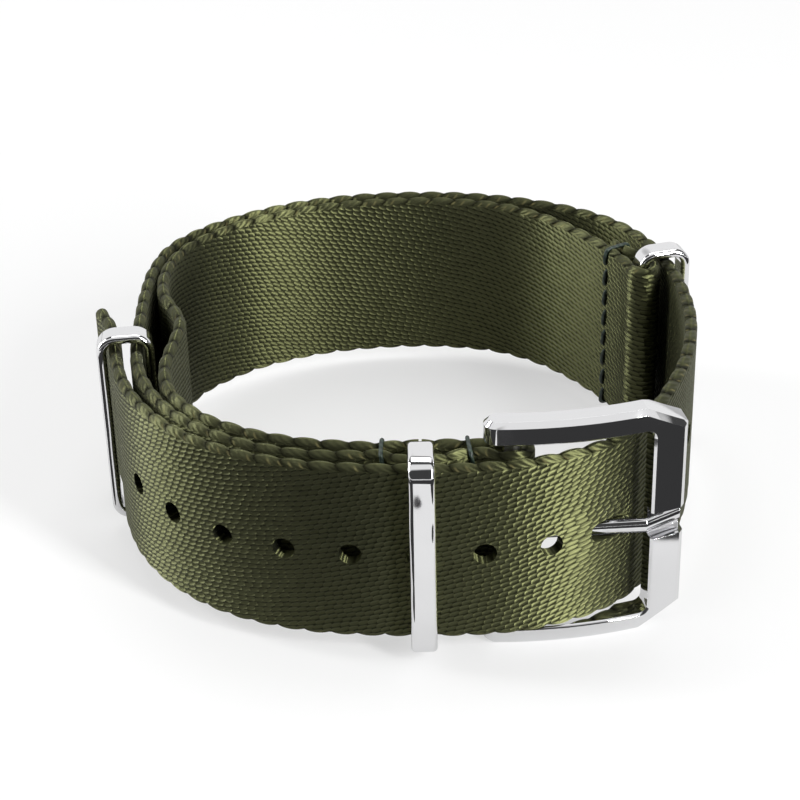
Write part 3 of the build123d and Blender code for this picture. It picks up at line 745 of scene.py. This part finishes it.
def spring_half(name, side):
    """Half of the spring inside the bar, cut at its middle and closed; in the real bar the spring shortens as
    the pin at its end is pressed in.
    """
    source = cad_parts["spring_bar_spring"]
    low, high = (Vector(corner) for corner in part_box("spring_bar_spring"))
    middle = (low + high) / 2
    work = bmesh.new()
    work.from_mesh(source.data)
    work.transform(source.matrix_world)
    bmesh.ops.remove_doubles(work, verts=work.verts[:], dist=0.0000002)
    bmesh.ops.bisect_plane(work, geom=work.verts[:] + work.edges[:] + work.faces[:], plane_co=middle,
                           plane_no=(0, 0, side), clear_inner=True)
    bmesh.ops.holes_fill(work, edges=[edge for edge in work.edges if edge.is_boundary])
    mesh = mesh_of(name, work)
    smooth_faces(mesh)
    mesh.set_sharp_from_angle(angle=radians(SOFT_TURN))
    mesh.materials.append(drawn_finish)
    piece = in_scene(name, mesh)
    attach(piece, "bar")
    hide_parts("spring_bar_spring")
    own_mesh(piece)


spring_half("spring_upper_half", 1)
spring_half("spring_lower_half", -1)


# ---- Floor, light and camera

FLOOR_TONE, FLOOR_FILL, FLOOR_MIRRORED = 0.36, 0.56, 0.36
CARD_TONE = (0.038, 0.038, 0.039, 1)
ROOM_FILL = 0.16
LIGHT_AIM = Vector((0, 0, 0.01))
# The room that polished faces show: its tone from the far side, over the top, to the near side, in half turns
ROOM_TONES = ((0.0, 0.9), (0.2, 0.88), (0.25, 0.06), (0.52, 0.06), (0.56, 0.85), (0.68, 0.85), (0.73, 0.05))


def stage_floor():
    plane = bmesh.new()
    bmesh.ops.create_grid(plane, x_segments=1, y_segments=1, size=3.0)
    floor = in_scene("floor", mesh_of("floor", plane))
    floor.location.z = -0.00002
    material, tree, shader = new_material("white_table")
    shader.inputs["Base Color"].default_value = (FLOOR_TONE, FLOOR_TONE, FLOOR_TONE, 1)
    shader.inputs["Roughness"].default_value = 0.8
    shader.inputs["Specular IOR Level"].default_value = 0.1
    path = wired(tree, "ShaderNodeLightPath").outputs
    straight = sums(tree, "MULTIPLY", path["Is Camera Ray"], FLOOR_FILL)
    mirrored = sums(tree, "MULTIPLY", path["Is Glossy Ray"], FLOOR_MIRRORED)
    glow = wired(tree, "ShaderNodeEmission", {"Strength": sums(tree, "ADD", straight, mirrored)}).outputs[0]
    lit = wired(tree, "ShaderNodeAddShader", (shader.outputs[0], glow)).outputs[0]
    tree.links.new(lit, tree.nodes["Material Output"].inputs[0])
    floor.data.materials.append(material)


def dark_card(name, corner, far_corner, turn):
    """Dark card lying beside the object, outside the view, that only glossy faces show."""
    plane = bmesh.new()
    bmesh.ops.create_grid(plane, x_segments=1, y_segments=1, size=0.5)
    bmesh.ops.translate(plane, verts=plane.verts[:], vec=(0.5, -0.5, 0))
    bmesh.ops.scale(plane, verts=plane.verts[:], vec=(far_corner[0], far_corner[1], 1))
    bmesh.ops.rotate(plane, verts=plane.verts[:], matrix=Matrix.Rotation(turn, 3, "Z"))
    bmesh.ops.translate(plane, verts=plane.verts[:], vec=(corner[0], corner[1], 0.0003))
    card = in_scene(name, mesh_of(name, plane))
    card.visible_camera = card.visible_diffuse = card.visible_shadow = False
    material, _, shader = new_material(name + "_black")
    shader.inputs["Base Color"].default_value = (0, 0, 0, 1)
    shader.inputs["Specular IOR Level"].default_value = 0.0
    shader.inputs["Emission Color"].default_value = CARD_TONE
    shader.inputs["Emission Strength"].default_value = 1.0
    card.data.materials.append(material)


def softbox(name, place, size, power):
    """Soft light that faces the loop."""
    lamp = bpy.data.lights.new(name, "AREA")
    lamp.shape, lamp.size, lamp.size_y, lamp.energy = "RECTANGLE", size[0], size[1], power
    box = in_scene(name, lamp)
    box.location = place
    box.rotation_euler = (LIGHT_AIM - Vector(place)).to_track_quat("-Z", "Y").to_euler()


def set_light():
    world = bpy.data.worlds.new("studio")
    bpy.context.scene.world = world
    world.use_nodes = True
    tree = world.node_tree
    tree.nodes.clear()
    path = wired(tree, "ShaderNodeLightPath").outputs
    seen = sums(tree, "MAXIMUM", path["Is Camera Ray"], path["Is Transmission Ray"])
    sky = wired(tree, "ShaderNodeTexCoord").outputs["Generated"]
    way = wired(tree, "ShaderNodeSeparateXYZ", (sky,)).outputs
    height = sums(tree, "DIVIDE", sums(tree, "ARCTAN2", way[2], way[1]), pi)
    room = wired(tree, "ShaderNodeValToRGB", (height,))
    stops = room.color_ramp.elements
    for stop, (place, tone) in zip(stops, ROOM_TONES[:2]):
        stop.position, stop.color = place, (tone, tone, tone, 1)
    for place, tone in ROOM_TONES[2:]:
        stops.new(place).color = (tone, tone, tone, 1)
    room = sums(tree, "MULTIPLY", room.outputs[0], path["Is Glossy Ray"])
    matt = sums(tree, "SUBTRACT", 1.0, path["Is Glossy Ray"])
    level = sums(tree, "ADD", room, sums(tree, "MULTIPLY", matt, ROOM_FILL))
    even = wired(tree, "ShaderNodeBackground", {"Color": (1, 1, 1, 1), "Strength": level}).outputs[0]
    pale = wired(tree, "ShaderNodeBackground", {"Color": (1, 1, 1, 1), "Strength": 1.0}).outputs[0]
    both = wired(tree, "ShaderNodeMixShader", (seen, even, pale)).outputs[0]
    wired(tree, "ShaderNodeOutputWorld", (both,))
    softbox("right_softbox", (0.34, -0.34, 0.2), (0.09, 0.4), 4.2)
    softbox("left_softbox", (-0.46, 0.08, 0.2), (0.12, 0.4), 2.15)
    softbox("top_softbox", (0.02, 0.2, 0.5), (0.4, 0.3), 1.3)


def set_camera():
    """Camera fitted to the photograph: 31 degrees down, with a slight roll."""
    roll, down = radians(1.43), radians(31.0)
    forward = Vector((0, cos(down), -sin(down)))
    right, low = Vector((1, 0, 0)), Vector((0, -sin(down), -cos(down)))
    right_rolled = right * cos(roll) + low * sin(roll)
    low_rolled = low * cos(roll) - right * sin(roll)
    data = bpy.data.cameras.new("camera")
    data.sensor_width, data.lens, data.clip_start = 36.0, 95.7, 0.01
    camera = in_scene("camera", data)
    turn = Matrix((right_rolled, -low_rolled, -forward)).transposed().to_4x4()
    camera.matrix_world = Matrix.Translation((-0.00002, -0.19778, 0.13106)) @ turn
    bpy.context.scene.camera = camera


stage_floor()
dark_card("front_card", (-0.16, -0.072), (0.3, 0.2), 0)
dark_card("near_card", (-0.05, -0.038), (0.048, 0.034), 0)
dark_card("left_card", (-0.07, -0.008), (0.037, 0.05), 0)
dark_card("right_card", (0.0019, -0.0651), (0.25, 0.2), radians(39))
set_light()
set_camera()
bpy.context.scene.view_settings.view_transform = "Standard"
